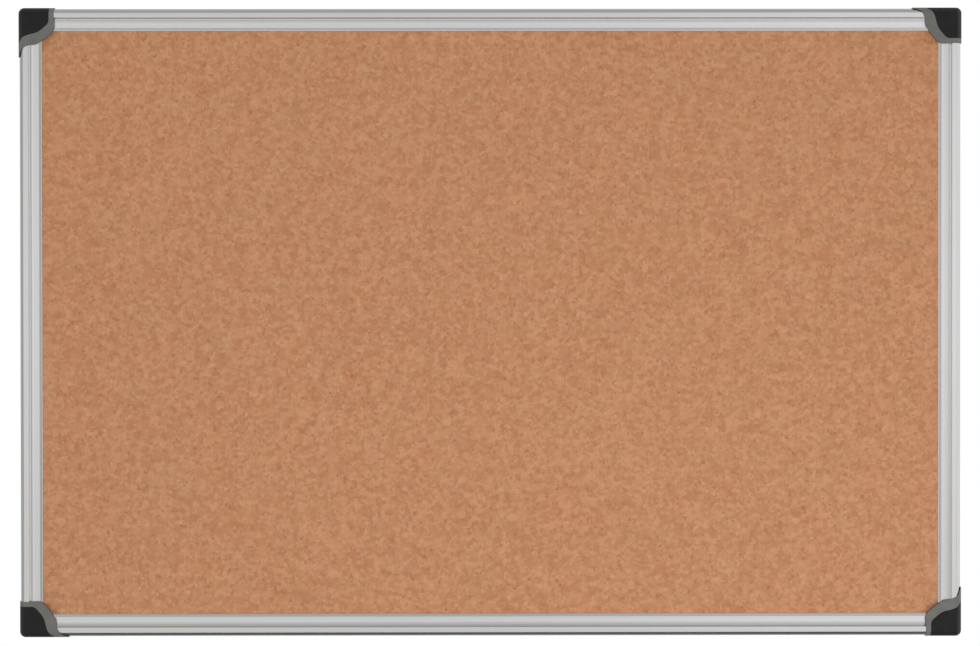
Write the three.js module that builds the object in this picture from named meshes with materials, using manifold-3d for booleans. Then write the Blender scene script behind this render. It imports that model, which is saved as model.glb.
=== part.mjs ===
// A wall-hung cork board. A cork sheet is glued to a fibreboard core, and the panel stands in a frame of
// four extruded aluminium rails. Four moulded corners plug into the rails and take the wall screws, each of
// which hides under a cap that pulls off.
//
// Lengths are in millimetres. The board is drawn as it is seen on the wall: x to the right, y up, and z out
// of the wall, which is the plane z = 0. The last group turns it upright, so that z is up and the front
// faces -y.

import * as THREE from "three";
import { mergeVertices } from "three/addons/utils/BufferGeometryUtils.js";
import Module from "manifold-3d";

const wasm = await Module();
wasm.setup();

// The board, over the outer faces of the rails
const boardWidth = 900;
const boardHeight = 600;

// The panel, from the wall outwards
const backingThickness = 0.5;
const coreThickness = 8;
const corkThickness = 1.5;
const glueLine = 0.1;
const panelThickness = backingThickness + glueLine + coreThickness + glueLine + corkThickness;

// The screws that hold each rail to the corners' arms, from behind
const screwFromEnd = 12;
const screwShankRadius = 1.35;
const screwShankLength = 8;
const screwTipLength = 1.6;
const screwHeadRadius = 2.7;
const screwHeadHeight = 1.25;
const screwHeadRound = 0.5;
const screwHeadFit = 0.55;
const screwSeatGap = 0.1;
const screwSunk = 0.15;
const screwHoleFit = 0.35;
const pilotFit = 0.2;
const crossLength = 3;
const crossWidth = 0.7;
const crossDepth = 0.8;

// The rail's section, from its outer face inwards: a bead, which is a rounded bevel, a flat crest, a
// hollow cove and a thin nose. Behind them lie a chamber for the corner's arm, with a groove under it
// for the screws' heads, and a channel for the panel.
const beadWidth = 4.3;
const beadDrop = 5;
const beadShares = [
  [0, 0.16],
  [0.79, 1],
];
const crestWidth = 4.3;
const coveWidth = 9.6;
const coveDrop = 3.8;
const coveKneeShares = [
  [0.08, 0.8],
  [0.18, 1],
];
const noseWidth = 2.8;
const noseHeight = 1.4;
const railWall = 1.3;
const webWall = 1.2;
const chamberWidth = 8.5;
const lipUndersideRiseShare = 0.1;
const rearLipReach = 5;
const rearLipWall = 1.2;
const panelFit = 0.2;
const panelEdgeFit = 0.4;

const railFace = beadWidth + crestWidth + coveWidth + noseWidth;
const panelBack = rearLipWall + panelFit;
const panelFront = panelBack + panelThickness;
const noseFoot = panelFront + panelFit;
const crest = noseFoot + noseHeight + coveDrop;
const beadFoot = crest - beadDrop;
const webOuter = railWall + chamberWidth;
const webInner = webOuter + webWall;
const screwLine = (railWall + webOuter) / 2;
const screwGrooveReach = screwHeadRadius + screwHeadFit;
const screwGrooveDepth = screwSunk + screwHeadHeight + screwSeatGap;
const screwHoleRadius = screwShankRadius + screwHoleFit;
const chamberFloor = screwGrooveDepth + railWall;
const panelInset = webInner + panelEdgeFit;

// The corner moulding. It isn't symmetrical: its shell laps a little over the rail on one side and sweeps
// far out along the rail on the other, and the four corners are one moulding turned by quarters. Its
// outline's shares are of its long arm, and of its short one.
const shortLap = 11.3;
const longLap = 24;
const shellFit = 0.2;
const shellSideWall = 0.8;
const shellFrontWall = 1.2;
const edgeRound = 0.6;
const cornerFlat = 0.2;
const endGap = 1;
const shoulderFit = 0.3;
const mouldingWall = 1.5;
const panelClearance = 0.3;
const sweepShares = [
  [0.835, 0.025],
  [0.785, 0.105],
  [0.74, 0.405],
];
const chamferShares = [
  [0.71, 0.59],
  [0.62, 0.765],
  [0.49, 0.945],
];
const turnShares = [
  [0.45, 1],
  [0.39, 1],
];

const shellSide = shellFit + shellSideWall;
const shellFront = shellFit + shellFrontWall;
const cornerRound = beadWidth + cornerFlat;
const railSetback = railFace + endGap;
const shoulder = railSetback - shoulderFit;
const shortArm = railSetback + shortLap;
const longArm = railSetback + longLap;

// The arms that plug into the rails' chambers
const armReach = 30;
const armFit = 0.3;
const armTipTaper = 1.5;
const armTipInset = 0.7;
const armFloor = 2.2;
const armSide = 1.5;
const armTipWall = 3;
const pilotBlock = 4;
const crushRibHeight = 0.15;
const crushRibWidth = 1;
const crushRibShares = [0.3, 0.7];

// The cap, which leaves a border of the moulding in view, and whose skirts stop above the moulding's low
// base. Its outline's shares are of its own two arms.
const capBorderAcross = 4.8;
const capBorderAlong = 14;
const capBase = 3;
const capFit = 0.2;
const pegRadius = 1.95;
const pegLength = 8;
const pegBulge = 0.15;
const pegBulgeHeight = 1.2;
const pegTipRadius = 1.2;
const pegTipHeight = 1;
const pegSlitWidth = 0.8;
const pegSlitDepth = 5.5;
const pegFit = 0.2;
const capSweepShares = [
  [0.875, 0.055],
  [0.8, 0.155],
  [0.745, 0.45],
];
const capChamferShares = [
  [0.71, 0.65],
  [0.63, 0.745],
  [0.505, 0.905],
];
const capTurnShares = [
  [0.4375, 1],
  [0.33, 1],
];

const capArm = shortArm - capBorderAcross;
const capLongArm = longArm - capBorderAlong;

// The wall screw's well, and the sockets for the cap's pegs, one on each arm between the well and the
// shoulder
const wellFromFace = 0.6;
const wallScrewHoleRadius = 3.1;
const wallScrewWellRadius = 4.6;
const wallScrewSeat = 4;
const wellWall = 1.4;
const socketWall = 1.3;
const socketClearance = 2;

const wellOuter = wallScrewWellRadius + wellWall;
const wallScrewInset = wellFromFace + wellOuter;
const socketRadius = pegRadius + pegBulge + pegFit;
const socketDepth = pegLength + socketClearance;
const deckUnder = crest - mouldingWall;
const panelCorner = panelInset - panelClearance;
const trayInside = panelCorner - mouldingWall;
const trayEnd = shoulder - mouldingWall;
const pegAlong = (wallScrewInset + wellOuter + trayEnd) / 2;
const pegAcross = (mouldingWall + trayInside) / 2;

// How finely curves are cut into facets, how far a cut runs past what it cuts, and how far a cutter reaches
const beadSegments = 5;
const coveSegments = 5;
const sweepSegments = 6;
const roundSegments = 16;
const edgeSegments = 2;
const overrun = 2;
const cutterReach = 90;

const quarter = Math.PI / 2;

// Joining and cutting

function solidOf(geometry) {
  const bare = geometry.clone();
  bare.deleteAttribute("normal");
  bare.deleteAttribute("uv");
  const merged = mergeVertices(bare);
  return new wasm.Manifold(
    new wasm.Mesh({
      numProp: 3,
      vertProperties: merged.attributes.position.array,
      triVerts: new Uint32Array(merged.index.array),
    }),
  );
}

function geometryOf(solid) {
  const mesh = solid.getMesh();
  const shared = new THREE.BufferGeometry();
  shared.setAttribute("position", new THREE.BufferAttribute(mesh.vertProperties, mesh.numProp));
  shared.setIndex(new THREE.BufferAttribute(mesh.triVerts, 1));
  const flat = shared.toNonIndexed();
  flat.computeVertexNormals();
  return flat;
}

// A box between two corners
function box(low, high) {
  const size = new THREE.Vector3().subVectors(high, low);
  const middle = new THREE.Vector3().addVectors(low, high).divideScalar(2);
  const geometry = new THREE.BoxGeometry(size.x, size.y, size.z);
  return solidOf(geometry.translate(middle.x, middle.y, middle.z));
}

// A round bar that stands on a point and rises to a height
function bar(radius, foot, top) {
  const length = top - foot.z;
  const geometry = new THREE.CylinderGeometry(radius, radius, length, roundSegments);
  geometry.rotateX(quarter);
  return solidOf(geometry.translate(foot.x, foot.y, foot.z + length / 2));
}

// A profile of [radius, height] points, turned about the z axis
function turned(points) {
  const profile = points.map(([radius, height]) => new THREE.Vector2(radius, height));
  return solidOf(new THREE.LatheGeometry(profile, roundSegments).rotateX(quarter));
}

// A solid through level rings of as many points each, from the lowest to the highest
function lofted(rings) {
  const count = rings[0].length;
  const index = [];
  rings.slice(1).forEach((_, level) => {
    for (let i = 0; i < count; i++) {
      const here = level * count + i;
      const next = level * count + ((i + 1) % count);
      index.push(here, next, next + count, here, next + count, here + count);
    }
  });
  const top = count * (rings.length - 1);
  THREE.ShapeUtils.triangulateShape(rings[0], []).forEach(([a, b, c]) => index.push(c, b, a));
  THREE.ShapeUtils.triangulateShape(rings.at(-1), []).forEach((face) => index.push(...face.map((i) => top + i)));
  return solidOf(new THREE.BufferGeometry().setFromPoints(rings.flat()).setIndex(index));
}

// An outline drawn in x and y and raised from below the wall plane to a top whose edge is rounded
function roundedPlate(outline, top) {
  const geometry = new THREE.ExtrudeGeometry(outline, {
    depth: top - edgeRound + overrun,
    curveSegments: sweepSegments,
    bevelThickness: edgeRound,
    bevelSize: edgeRound,
    bevelOffset: -edgeRound,
    bevelSegments: edgeSegments,
  });
  return solidOf(geometry.translate(0, 0, -overrun));
}

// The room that an outline takes with a fit all round, from a height outwards
function roomAround(outline, bottom, fit) {
  const geometry = new THREE.ExtrudeGeometry(outline, {
    depth: cutterReach,
    curveSegments: sweepSegments,
    bevelThickness: fit,
    bevelSize: fit,
    bevelSegments: 1,
  });
  return solidOf(geometry.translate(0, 0, bottom));
}

// A rail's or an arm's section is drawn with the way inwards as x and the way out of the wall as y. These
// turn its extrusion to run along x, or to run along y from its far end back, so that neither is a mirror
// image.
const xAxis = new THREE.Vector3(1, 0, 0);
const yAxis = new THREE.Vector3(0, 1, 0);
const zAxis = new THREE.Vector3(0, 0, 1);
const alongX = new THREE.Matrix4().makeBasis(yAxis, zAxis, xAxis);
const alongY = new THREE.Matrix4().makeBasis(xAxis, zAxis, yAxis.clone().negate());

// What is made for the arm along x is made for the arm along y too
const arms = ["x", "y"];

function runSection(arm, geometry, from, to) {
  if (arm === "x") return solidOf(geometry.applyMatrix4(alongX).translate(from, 0, 0));
  return solidOf(geometry.applyMatrix4(alongY).translate(0, to, 0));
}

function place(arm, along, across, height) {
  return arm === "x" ? new THREE.Vector3(along, across, height) : new THREE.Vector3(across, along, height);
}

// The rails

// The front of the section, from the foot of the bead to the foot of the nose, kept clear by a fit where
// the moulding passes over it
function drawFront(path, fit) {
  const crestEnd = beadWidth + crestWidth;
  const coveEnd = crestEnd + coveWidth;
  const turns = beadShares.flatMap(([across, up]) => [
    across * (beadWidth + fit) - fit,
    beadFoot + up * (beadDrop + fit),
  ]);
  path.lineTo(-fit, beadFoot);
  path.bezierCurveTo(...turns, beadWidth, crest + fit);
  path.lineTo(crestEnd, crest + fit);
  const knees = coveKneeShares.flatMap(([across, down]) => [
    crestEnd + across * coveWidth,
    crest + fit - down * coveDrop,
  ]);
  path.bezierCurveTo(...knees, coveEnd, crest + fit - coveDrop);
  path.absellipse(coveEnd, noseFoot, noseWidth + fit, noseHeight + fit, quarter, 0, true);
}

function railSection() {
  const section = new THREE.Shape();
  section.moveTo(0, 0);
  drawFront(section, 0);
  section.lineTo(railFace - noseWidth, noseFoot);
  section.lineTo(webInner, noseFoot + lipUndersideRiseShare * coveDrop);
  section.lineTo(webInner, rearLipWall);
  section.lineTo(webInner + rearLipReach, rearLipWall);
  section.lineTo(webInner + rearLipReach, 0);
  section.lineTo(screwLine + screwGrooveReach, 0);
  section.lineTo(screwLine + screwGrooveReach, screwGrooveDepth);
  section.lineTo(screwLine - screwGrooveReach, screwGrooveDepth);
  section.lineTo(screwLine - screwGrooveReach, 0);
  section.closePath();

  const chamber = new THREE.Path();
  chamber.moveTo(railWall, chamberFloor);
  chamber.lineTo(webOuter, chamberFloor);
  chamber.lineTo(webOuter, crest - coveDrop - railWall);
  chamber.lineTo(beadWidth + crestWidth - railWall, crest - railWall);
  chamber.lineTo(beadWidth, crest - railWall);
  chamber.lineTo(railWall, beadFoot);
  chamber.closePath();
  section.holes.push(chamber);
  return section;
}

// A rail that runs along x with its middle at the origin, its outer face at y = 0 and its back at z = 0
function railGeometry(length) {
  const extrusion = new THREE.ExtrudeGeometry(railSection(), {
    depth: length,
    curveSegments: coveSegments,
    bevelEnabled: false,
  });
  let rail = runSection("x", extrusion, -length / 2, length / 2);
  for (const side of [-1, 1]) {
    const foot = new THREE.Vector3(side * (length / 2 - screwFromEnd), screwLine, 0);
    rail = rail.subtract(bar(screwHoleRadius, foot, chamberFloor + overrun));
  }
  return geometryOf(rail);
}

// The corner mouldings

// The block that the corner is shaped from: two sides that run on past the rails, the bead's bevel along
// them and round the corner between them, and a flat front. It stands out past the rails by the given
// amounts.
function cornerBlock(side, front) {
  const ring = (inset, height) => {
    const corner = new THREE.Path();
    corner.absarc(cornerRound, cornerRound, cornerRound + side - inset, Math.PI, Math.PI + quarter, false);
    return [
      new THREE.Vector3(cutterReach, inset - side, height),
      new THREE.Vector3(cutterReach, cutterReach, height),
      new THREE.Vector3(inset - side, cutterReach, height),
      ...corner.getPoints(beadSegments).map(({ x, y }) => new THREE.Vector3(x, y, height)),
    ];
  };
  const shares = beadShares.map(([across, up]) => new THREE.Vector2(across, up));
  const bead = new THREE.CubicBezierCurve(new THREE.Vector2(0, 0), ...shares, new THREE.Vector2(1, 1));
  const levels = bead.getPoints(beadSegments).map(({ x, y }) => {
    return ring(x * (beadWidth + side), beadFoot + y * (beadDrop + front));
  });
  return lofted([ring(0, -overrun), ...levels]);
}

// An outline seen from the front, which starts past the outer faces: the long arm's end, a sweep up over
// its rail, a chamfer over the panel's corner, and the short arm's end
function armOutline(long, short, sweep, chamfer, turn) {
  const sized = (shares) => shares.flatMap(([along, across]) => [along * long, across * short]);
  const outline = new THREE.Shape();
  outline.moveTo(-cutterReach, -cutterReach);
  outline.lineTo(long, -cutterReach);
  outline.lineTo(long, 0);
  outline.bezierCurveTo(...sized(sweep));
  outline.bezierCurveTo(...sized(chamfer));
  outline.quadraticCurveTo(...sized(turn));
  outline.lineTo(-cutterReach, short);
  outline.closePath();
  return outline;
}

const mouldingOutline = armOutline(longArm, shortArm, sweepShares, chamferShares, turnShares);
const capOutline = armOutline(capLongArm, capArm, capSweepShares, capChamferShares, capTurnShares);

// What a rail takes out of the moulding: its own front with the fit, and everything behind that
function railRoom(arm) {
  const section = new THREE.Shape();
  section.moveTo(-shellFit, -overrun);
  section.lineTo(-shellFit, beadFoot);
  drawFront(section, shellFit);
  section.lineTo(railFace + shellFit, -overrun);
  section.closePath();
  const geometry = new THREE.ExtrudeGeometry(section, {
    depth: cutterReach,
    curveSegments: coveSegments,
    bevelEnabled: false,
  });
  return runSection(arm, geometry, shoulder, shoulder + cutterReach);
}

// An arm that starts inside the moulding's shoulder: a bar with crush ribs towards the panel and a tapered
// tip, cored out from the front on both sides of the block that takes the screw
function armSolid(arm) {
  const near = railWall + armFit;
  const far = webOuter - armFit;
  const floor = chamberFloor + armFit;
  const top = beadFoot - armFit;
  const section = new THREE.Shape();
  section.moveTo(near, floor);
  section.lineTo(far, floor);
  for (const share of crushRibShares) {
    const middle = floor + share * (top - floor);
    section.lineTo(far, middle - crushRibWidth / 2);
    section.lineTo(far + crushRibHeight, middle);
    section.lineTo(far, middle + crushRibWidth / 2);
  }
  section.lineTo(far, top);
  section.lineTo(near, top);
  section.closePath();
  const start = trayEnd + armTipTaper;
  const tip = shoulder + armReach;
  const extrusion = new THREE.ExtrudeGeometry(section, {
    depth: tip - armTipTaper - start,
    bevelThickness: armTipTaper,
    bevelSize: armTipInset,
    bevelOffset: -armTipInset,
    bevelSegments: 1,
  });
  let solid = runSection(arm, extrusion, start, tip - armTipTaper);
  const screw = railSetback + screwFromEnd;
  const cores = [
    [shoulder, screw - pilotBlock],
    [screw + pilotBlock, tip - armTipWall],
  ];
  for (const [from, to] of cores) {
    const low = place(arm, from, near + armSide, floor + armFloor);
    const high = place(arm, to, far - armSide, top + overrun);
    solid = solid.subtract(box(low, high));
  }
  const pilotFoot = place(arm, screw, screwLine, floor - overrun);
  return solid.subtract(bar(screwShankRadius + pilotFit, pilotFoot, top + overrun));
}

const wellPlace = (height) => new THREE.Vector3(wallScrewInset, wallScrewInset, height);
const pegPlace = (arm, height) => place(arm, pegAlong, pegAcross, height);

// The moulding's middle, which the cap covers: a tray between the two shoulders, cored out from behind
// along both arms, with the wall screw's well and the pegs' sockets standing in it
function coreSolid() {
  const low = new THREE.Vector3(-overrun, -overrun, -overrun);
  const high = new THREE.Vector3(shoulder, shoulder, crest + overrun);
  const block = cornerBlock(0, 0).intersect(box(low, high));
  const hollow = cornerBlock(-mouldingWall, -mouldingWall);
  let core = block;
  for (const arm of arms) {
    const room = box(place(arm, 0, 0, -overrun), place(arm, trayEnd, trayInside, deckUnder));
    core = core.subtract(hollow.intersect(room));
  }
  let posts = bar(wellOuter, wellPlace(0), crest);
  for (const arm of arms) {
    posts = posts.add(bar(socketRadius + socketWall, pegPlace(arm, crest - socketDepth), crest));
  }
  core = core.add(block.intersect(posts));
  for (const arm of arms) {
    core = core.subtract(bar(socketRadius, pegPlace(arm, crest - socketDepth - overrun), crest + overrun));
  }
  core = core.subtract(bar(wallScrewWellRadius, wellPlace(wallScrewSeat), crest + overrun));
  return core.subtract(bar(wallScrewHoleRadius, wellPlace(-overrun), wallScrewSeat + overrun));
}

// The moulding's shell, which passes over the rails' ends and the panel's corner and is open where the cap
// goes
function shellSolid() {
  const tray = box(new THREE.Vector3(0, 0, -overrun), new THREE.Vector3(trayEnd, trayEnd, deckUnder));
  return cornerBlock(shellSide, shellFront)
    .intersect(roundedPlate(mouldingOutline, crest + shellFront))
    .subtract(roomAround(capOutline, capBase, capFit))
    .subtract(cornerBlock(-mouldingWall, -mouldingWall).intersect(tray));
}

function cornerGeometry() {
  let corner = shellSolid().add(coreSolid());
  for (const arm of arms) corner = corner.subtract(railRoom(arm));
  const panelRoom = box(
    new THREE.Vector3(panelCorner, panelCorner, -overrun),
    new THREE.Vector3(cutterReach, cutterReach, panelFront + panelClearance),
  );
  corner = corner.subtract(panelRoom);
  for (const arm of arms) corner = corner.add(armSolid(arm));
  const wall = box(
    new THREE.Vector3(-cutterReach, -cutterReach, -cutterReach),
    new THREE.Vector3(cutterReach, cutterReach, 0),
  );
  return geometryOf(corner.subtract(wall));
}

// A peg under the cap: a stalk with a bulge near its end that grips in the socket, split so that it can
// spring
function pegSolid(arm) {
  const top = crest + shellFit + shellFrontWall / 2;
  const bottom = crest + shellFit - pegLength;
  const widest = bottom + pegTipHeight;
  const stalk = turned([
    [0, bottom],
    [pegTipRadius, bottom],
    [pegRadius + pegBulge, widest],
    [pegRadius, widest + pegBulgeHeight],
    [pegRadius, top],
    [0, top],
  ]);
  const slit = box(
    new THREE.Vector3(-pegSlitWidth / 2, -pegRadius - overrun, bottom - overrun),
    new THREE.Vector3(pegSlitWidth / 2, pegRadius + overrun, bottom + pegSlitDepth),
  );
  const foot = pegPlace(arm, 0);
  return solidOf(geometryOf(stalk.subtract(slit)).translate(foot.x, foot.y, 0));
}

function capGeometry() {
  const below = box(
    new THREE.Vector3(-cutterReach, -cutterReach, -cutterReach),
    new THREE.Vector3(cutterReach, cutterReach, capBase + capFit),
  );
  let cap = cornerBlock(shellSide, shellFront)
    .intersect(roundedPlate(capOutline, crest + shellFront))
    .subtract(cornerBlock(shellFit, shellFit))
    .subtract(below);
  for (const arm of arms) cap = cap.add(pegSolid(arm));
  return geometryOf(cap);
}

// A pan-head screw that points out of the wall, its head's underside at z = 0
function screwGeometry() {
  let screw = turned([
    [0, -screwHeadHeight],
    [screwHeadRadius - screwHeadRound, -screwHeadHeight],
    [screwHeadRadius, -screwHeadHeight + screwHeadRound],
    [screwHeadRadius, 0],
    [screwShankRadius, 0],
    [screwShankRadius, screwShankLength - screwTipLength],
    [0, screwShankLength],
  ]);
  for (const [length, width] of [
    [crossLength, crossWidth],
    [crossWidth, crossLength],
  ]) {
    const slot = box(
      new THREE.Vector3(-length / 2, -width / 2, -screwHeadHeight - overrun),
      new THREE.Vector3(length / 2, width / 2, -screwHeadHeight + crossDepth),
    );
    screw = screw.subtract(slot);
  }
  return geometryOf(screw);
}

// One layer of the panel
function layerGeometry(bottom, thickness) {
  const width = boardWidth - 2 * panelInset;
  const height = boardHeight - 2 * panelInset;
  return new THREE.BoxGeometry(width, height, thickness).translate(0, 0, bottom + thickness / 2);
}

// Materials

const anodisedAluminium = new THREE.MeshStandardMaterial({ color: 0xc9c8c5, roughness: 0.38, metalness: 1 });
const greyPlastic = new THREE.MeshStandardMaterial({ color: 0x6f6e6a, roughness: 0.5, metalness: 0 });
const blackPlastic = new THREE.MeshStandardMaterial({ color: 0x242423, roughness: 0.42, metalness: 0 });
const cork = new THREE.MeshStandardMaterial({ color: 0xba8661, roughness: 0.9, metalness: 0 });
const fibreboard = new THREE.MeshStandardMaterial({ color: 0x8d7355, roughness: 0.95, metalness: 0 });
const kraftPaper = new THREE.MeshStandardMaterial({ color: 0xa98a62, roughness: 0.85, metalness: 0 });
const zincSteel = new THREE.MeshStandardMaterial({ color: 0xb4b6b8, roughness: 0.35, metalness: 1 });

// The assembly

function piece(name, geometry, material) {
  const mesh = new THREE.Mesh(geometry, material);
  mesh.name = name;
  return mesh;
}

const board = new THREE.Group();

const coreBack = panelBack + backingThickness + glueLine;
const corkBack = coreBack + coreThickness + glueLine;
board.add(piece("backing_sheet", layerGeometry(panelBack, backingThickness), kraftPaper));
board.add(piece("softboard_core", layerGeometry(coreBack, coreThickness), fibreboard));
board.add(piece("cork_sheet", layerGeometry(corkBack, corkThickness), cork));

// The four sides, anticlockwise from the bottom. Each is drawn as if it were the bottom one: its rail, the
// corner at its left end, whose long arm lies on the same side, and the screws through the rail's two ends.
const across = { length: boardWidth, offset: boardHeight / 2 };
const upright = { length: boardHeight, offset: boardWidth / 2 };
const sides = [
  { rail: "bottom", corner: "bottom_left", ends: ["left", "right"], ...across },
  { rail: "right", corner: "bottom_right", ends: ["bottom", "top"], ...upright },
  { rail: "top", corner: "top_right", ends: ["right", "left"], ...across },
  { rail: "left", corner: "top_left", ends: ["top", "bottom"], ...upright },
];

const cornerShape = cornerGeometry();
const capShape = capGeometry();
const screwShape = screwGeometry();

sides.forEach(({ rail, corner, ends, length, offset }, turn) => {
  const side = new THREE.Group();
  side.rotation.z = turn * quarter;
  board.add(side);

  const railMesh = piece(`rail_${rail}`, railGeometry(length - 2 * railSetback), anodisedAluminium);
  railMesh.position.y = -offset;
  side.add(railMesh);

  const cornerMesh = piece(`corner_${corner}`, cornerShape, greyPlastic);
  const capMesh = piece(`cap_${corner}`, capShape, blackPlastic);
  for (const mesh of [cornerMesh, capMesh]) {
    mesh.position.set(-length / 2, -offset, 0);
    side.add(mesh);
  }

  const screwAlong = length / 2 - railSetback - screwFromEnd;
  ends.forEach((end, index) => {
    const screw = piece(`screw_${rail}_rail_${end}`, screwShape, zincSteel);
    const along = index === 0 ? -screwAlong : screwAlong;
    screw.position.set(along, screwLine - offset, screwGrooveDepth - screwSeatGap);
    side.add(screw);
  });
});

// Stands the board up: what was up the wall becomes +z, and the front faces -y
board.rotation.x = quarter;

export default board;
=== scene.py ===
# %% [markdown]
# # A cork board in an aluminium frame
# The board is a panel of cork on fibreboard, held in a frame of four extruded rails. A moulded corner plugs
# into the rails at each corner, and a cap over its wall screw pulls off. The measured model comes first and
# stays fixed: its box and its moving bodies are what every finer piece below is built on.

import math

import bmesh
import bpy
from mathutils import Matrix, Vector, noise


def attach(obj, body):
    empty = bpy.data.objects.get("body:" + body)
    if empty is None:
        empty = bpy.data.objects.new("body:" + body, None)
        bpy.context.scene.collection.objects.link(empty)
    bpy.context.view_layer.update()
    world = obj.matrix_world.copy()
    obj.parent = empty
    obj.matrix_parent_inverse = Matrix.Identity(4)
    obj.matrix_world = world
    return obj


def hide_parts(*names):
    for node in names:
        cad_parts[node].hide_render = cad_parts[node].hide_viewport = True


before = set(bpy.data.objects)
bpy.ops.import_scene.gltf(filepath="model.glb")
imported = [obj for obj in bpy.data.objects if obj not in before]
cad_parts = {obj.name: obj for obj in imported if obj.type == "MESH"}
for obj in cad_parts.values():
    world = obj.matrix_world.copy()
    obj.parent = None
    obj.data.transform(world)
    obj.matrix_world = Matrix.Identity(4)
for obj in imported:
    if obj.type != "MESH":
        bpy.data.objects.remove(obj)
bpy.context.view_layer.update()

# %% [markdown]
# ## The drawing
# Everything is drawn as the measured model was: in millimetres, as the board is seen on the wall, with x to
# the right, y up and z out of the wall. One matrix stands a finished drawing up and turns it into metres, so
# that no piece needs a place, a turn or a scale of its own.

# %% Units and the standing frame
MM = 0.001
QUARTER = math.pi / 2
stand_up = Matrix.Scale(MM, 4) @ Matrix.Rotation(QUARTER, 4, "X")
print(
    "a point 10 mm out of the wall is at", tuple(round(value, 4) for value in stand_up @ Vector((0, 0, 10)))
)

# %% The board's sizes
board_width, board_height = 900, 600
backing_thickness, core_thickness, cork_thickness, glue_line = 0.5, 8, 1.5, 0.1
panel_thickness = backing_thickness + core_thickness + cork_thickness + 2 * glue_line
print("the board is", board_width, "by", board_height, "mm, its panel", round(panel_thickness, 2), "mm thick")

# %% The rail's sizes, from its outer face inwards
bead_width, bead_drop = 4.3, 5
bead_shares = [(0, 0.16), (0.79, 1)]
crest_width = 4.3
cove_width, cove_drop = 9.6, 3.8
cove_knee_shares = [(0.08, 0.8), (0.18, 1)]
nose_width, nose_height = 2.8, 1.4
nose_shares = [(0.32, 0.26), (0.9, 0.62)]
rail_wall, web_wall = 1.3, 1.2
chamber_width = 8.5
lip_rise_share = 0.1
rear_lip_reach, rear_lip_wall = 5, 1.2
panel_fit, panel_edge_fit = 0.2, 0.4

crest_end = bead_width + crest_width
cove_end = crest_end + cove_width
rail_face = cove_end + nose_width
panel_back = rear_lip_wall + panel_fit
panel_front = panel_back + panel_thickness
nose_foot = panel_front + panel_fit
crest = nose_foot + nose_height + cove_drop
bead_foot = crest - bead_drop
web_outer = rail_wall + chamber_width
web_inner = web_outer + web_wall
screw_line = (rail_wall + web_outer) / 2
panel_inset = web_inner + panel_edge_fit
print(
    "rail section", rail_face, "by", round(crest, 2), "mm; the cork lies", round(crest - panel_front, 2),
    "mm below its crest"
)

# %% [markdown]
# ## Outlines
# The rails, corners and caps all start as outlines in a plane. These small helpers make points along arcs and
# Bezier curves, ease a sharp corner with a small radius, as a die or a mould does, and move an outline out or
# in by a fit.

# %% Points along curves
def arc(centre, radii, start, end, steps):
    """Points along an ellipse, from one angle to another."""
    angles = [start + (end - start) * step / steps for step in range(steps + 1)]
    return [(centre[0] + radii[0] * math.cos(a), centre[1] + radii[1] * math.sin(a)) for a in angles]


def bezier(points, steps):
    """Points along a Bezier curve of any degree, without its first one."""
    made = []
    for step in range(1, steps + 1):
        share = step / steps
        row = [Vector(point) for point in points]
        while len(row) > 1:
            row = [a.lerp(b, share) for a, b in zip(row, row[1:])]
        made.append(tuple(row[0]))
    return made


# %% Changing an outline
def corners_of(points):
    """Each point of a closed outline between its two neighbours."""
    vectors = [Vector(point) for point in points]
    return zip(vectors[-1:] + vectors[:-1], vectors, vectors[1:] + vectors[:1])


def grown(points, amount):
    """An anticlockwise outline moved outwards by an amount, with mitred corners."""
    made = []
    for before, here, after in corners_of(points):
        into, out = (here - before).normalized(), (after - here).normalized()
        normals = Vector((into.y, -into.x)), Vector((out.y, -out.x))
        made.append(tuple(here + (normals[0] + normals[1]) * amount / (1 + normals[0].dot(normals[1]))))
    return made


def eased(points, radius, steps=3, least_turn=math.radians(25)):
    """An outline with each sharp corner rounded by a small radius."""
    made = []
    for before, here, after in corners_of(points):
        turn = (here - before).angle(after - here)
        if turn < least_turn:
            made.append(tuple(here))
            continue
        room = min((here - before).length, (after - here).length) * 0.45
        back = min(radius * math.tan(turn / 2), room)
        start = here + (before - here).normalized() * back
        end = here + (after - here).normalized() * back
        made += [tuple(start)] + bezier([start, here, end], steps)
    return made


# %% [markdown]
# ## Node trees
# Materials and geometry trees are built the same way: a node is added, its settings are given, and each input
# gets a value or a link from another node's output. One helper does all three, so that a tree reads from its
# first node to its last.

# %% Adding a node
def fill(tree, socket, value):
    """Gives an input a value, a link, or a list of links where it takes several."""
    for one in value if isinstance(value, list) else [value]:
        if isinstance(one, bpy.types.NodeSocket):
            tree.links.new(one, socket)
        else:
            socket.default_value = one


def add_node(tree, kind, inputs=None, **settings):
    """Adds a node to a tree and fills its inputs."""
    node = tree.nodes.new(kind)
    for name, value in settings.items():
        setattr(node, name, value)
    for key, value in (inputs or {}).items():
        fill(tree, node.inputs[key], value)
    return node


# %% Sums with numbers and vectors
def arithmetic(tree, operation, *values):
    """The output of one sum between numbers or outputs."""
    return add_node(tree, "ShaderNodeMath", dict(enumerate(values)), operation=operation).outputs[0]


def times(tree, first, second):
    return arithmetic(tree, "MULTIPLY", first, second)


def vector(tree, x=0.0, y=0.0, z=0.0):
    """Three numbers or outputs as one vector."""
    return add_node(tree, "ShaderNodeCombineXYZ", {"X": x, "Y": y, "Z": z}).outputs[0]


def separated(tree, value):
    """A vector's or a colour's three numbers."""
    return add_node(tree, "ShaderNodeSeparateXYZ", {0: value}).outputs


def vector_math(tree, operation, *values, **named):
    """The output of one sum between vectors."""
    inputs = {**dict(enumerate(values)), **named}
    made = add_node(tree, "ShaderNodeVectorMath", inputs, operation=operation).outputs
    return made["Value" if operation == "LENGTH" else "Vector"]


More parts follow.
